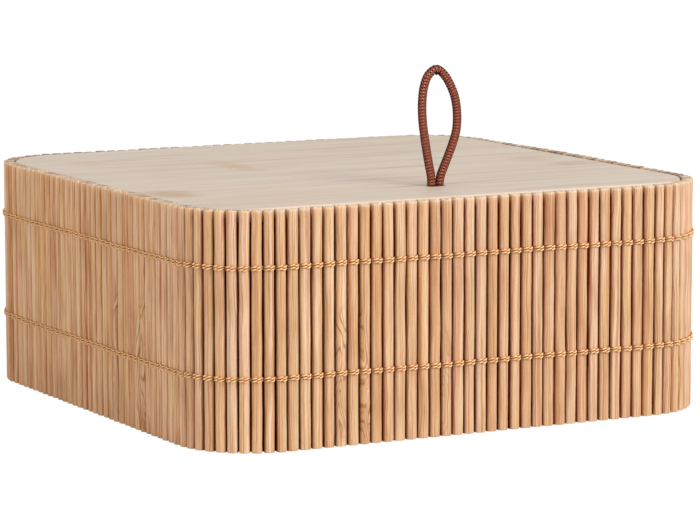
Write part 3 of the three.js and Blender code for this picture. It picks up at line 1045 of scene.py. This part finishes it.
def make_lid():
    """The board lid, with softly rounded edges and the cord hole cut through it."""
    curve = np.linspace(0, math.pi / 2, 5)
    insets = LID_ROUNDING * (1 - np.sin(curve))
    steps = LID_ROUNDING * (1 - np.cos(curve))
    profile = [*zip(insets, LINER_TOP + steps), *zip(insets[::-1], LID_TOP - steps[::-1])]
    bm = bmesh.new()

    def loops(outline_at):
        """Faces up the profile along an outline. Gives their rings of points."""
        rings = []
        for inset, z in profile:
            outline = outline_at(inset)
            rings.append([bm.verts.new((x * MM, y * MM, z * MM)) for x, y in outline])
        for lower, upper in zip(rings[:-1], rings[1:]):
            count = len(lower)
            for index in range(count):
                after = (index + 1) % count
                face = bm.faces.new((lower[index], lower[after], upper[after], upper[index]))
                face.smooth = True
        return rings

    outer = loops(lambda inset: rounded_square(LID_HALF - inset, LID_CORNER_RADIUS - inset, 18))
    hole = loops(lambda inset: slot_outline(CORD_RADIUS + HOLE_CLEARANCE + inset, 12)[::-1])
    for level in (0, -1):
        edges = [bm.edges.get(ends) for ring in (outer[level], hole[level])
                 for ends in zip(ring, ring[1:] + ring[:1])]
        bmesh.ops.triangle_fill(bm, use_beauty=True, edges=edges)
    bmesh.ops.recalc_face_normals(bm, faces=bm.faces)
    data = bpy.data.meshes.new("lid_panel")
    bm.to_mesh(data)
    bm.free()
    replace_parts(placed("lid_panel", data, lid_wood(), "lid"), "lid_board")


def finish_floor_board():
    """The floor board keeps the frame's own shape and gets a new material."""
    board = frame["nodes"]["floor_board"]
    board.data.materials.clear()
    board.data.materials.append(floor_wood())


# Thread rows

def way_round(unit):
    """Place on the liner and way out at a distance round the case counted in sticks."""
    quarter = STICKS_PER_SIDE + STICKS_PER_CORNER
    turn, rest = np.divmod(unit, quarter)
    straight = rest < STICKS_PER_SIDE
    x = np.where(straight, -STRAIGHT / 2 + rest * STICK_PITCH, CORNER_CENTRE)
    angle = np.where(straight, 0.0, (rest - STICKS_PER_SIDE) * CORNER_STEP) - math.pi / 2
    radius = np.where(straight, LINER_HALF, LINER_RADIUS)
    centre_y = np.where(straight, 0.0, -CORNER_CENTRE)
    out_x = np.where(straight, 0.0, np.cos(angle))
    out_y = np.where(straight, -1.0, np.sin(angle))
    place = np.stack([x + radius * out_x, centre_y + radius * out_y], axis=1)
    outward = np.stack([out_x, out_y], axis=1)
    spin = turn * math.pi / 2
    cosine, sine = np.cos(spin), np.sin(spin)

    def turn_each(vectors):
        return np.stack([vectors[:, 0] * cosine - vectors[:, 1] * sine,
                         vectors[:, 0] * sine + vectors[:, 1] * cosine], axis=1)
    return turn_each(place), turn_each(outward)


def gap_share(unit):
    """1 in the middle of a gap between sticks, 0 over the crown of a stick."""
    return ((1 + np.cos(2 * math.pi * unit)) / 2) ** DIP_SHARPNESS


def strand(level, hand, unit):
    """The middle of one strand as it swaps sides between sticks, over one and over the next."""
    gap = gap_share(unit)
    swing = np.cos(math.pi * (unit - 0.5))
    swing = hand * np.tanh(STRAND_SHARPNESS * swing) / math.tanh(STRAND_SHARPNESS)
    passing = hand * STRAND_PASSING * gap * np.sign(np.sin(math.pi * unit + 0.01))
    out = STICK_THICKNESS + PLY_OFFSET + PLY_RADIUS - THREAD_PRESS - THREAD_DIP * gap + passing
    return out, level + STRAND_APART * swing


def ply_rings(place, outward, out, up, angle):
    """Rings round one ply, whose middle lies so far out from the liner and so high."""
    centre = np.concatenate([place + outward * out[:, None], up[:, None]], axis=1)
    along = way_along(centre, closed=True)
    upright = normalised(np.array([0, 0, 1.0]) - along * along[:, 2:3])
    aside = np.cross(along, upright)
    return centre[:, None, :] + PLY_RADIUS * spokes(aside, upright, angle)


def make_thread_row(name, node, material):
    """One row of thread round the case, at the height of its node in the frame."""
    low, high = (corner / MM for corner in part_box(node))
    level = (low.z + high.z) / 2
    sticks = 4 * (STICKS_PER_SIDE + STICKS_PER_CORNER)
    unit = np.arange(sticks * STEPS_PER_STICK) / STEPS_PER_STICK
    place, outward = way_round(unit)
    bodies, places = [], []
    angle = 2 * math.pi * np.arange(PLY_SIDES) / PLY_SIDES
    wobble = sum(size * np.sin(unit * rate + start) for size, rate, start in THREAD_WOBBLE)
    for hand, ply in ((-1, 0), (-1, 1), (1, 0), (1, 1)):
        out, up = strand(level, hand, unit)
        twist = 2 * math.pi * (unit - PLY_TURN) + math.pi * ply
        bodies.append(skin(ply_rings(
            place, outward, out + PLY_OFFSET * np.cos(twist),
            up + wobble + PLY_OFFSET * np.sin(twist), angle), closed=True))
        run = unit * STICK_PITCH + PLY_GRAIN_APART * ply + STRAND_GRAIN_APART * (hand + 1)
        outermost = (1 + np.cos(twist)) / 2
        places.append(np.stack([
            np.repeat(run, PLY_SIDES), np.tile(angle * PLY_RADIUS, len(run)),
            np.repeat(outermost, PLY_SIDES)], axis=1))
    points, faces = joined(bodies)
    row = piece(name, points, faces, material, "case")
    note(row, "ply_place", np.concatenate(places))
    note(row, "ply_dip_shade", np.tile(np.repeat(gap_share(unit), PLY_SIDES), len(bodies)))
    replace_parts(row, node)


make_camera()
make_cord()
make_stage()
make_world()
lamp("key_lamp", azimuth=20, elevation=36, distance=2.2, size=1.0, level=0.75)
lamp("fill_lamp", azimuth=-84, elevation=22, distance=2.4, size=1.6, level=0.3,
     tint=(1, 0.86, 0.67))
lamp("top_lamp", azimuth=10, elevation=82, distance=2.2, size=1.8, level=0.2)
bamboo_stick = bamboo()
make_straight_sticks(bamboo_stick)
make_corner_sticks(bamboo_stick)
make_liner()
make_lid()
finish_floor_board()
twine = thread()
make_thread_row("upper_thread", "upper_thread_row", twine)
make_thread_row("lower_thread", "lower_thread_row", twine)

scene = bpy.context.scene
scene.view_settings.view_transform = "Standard"
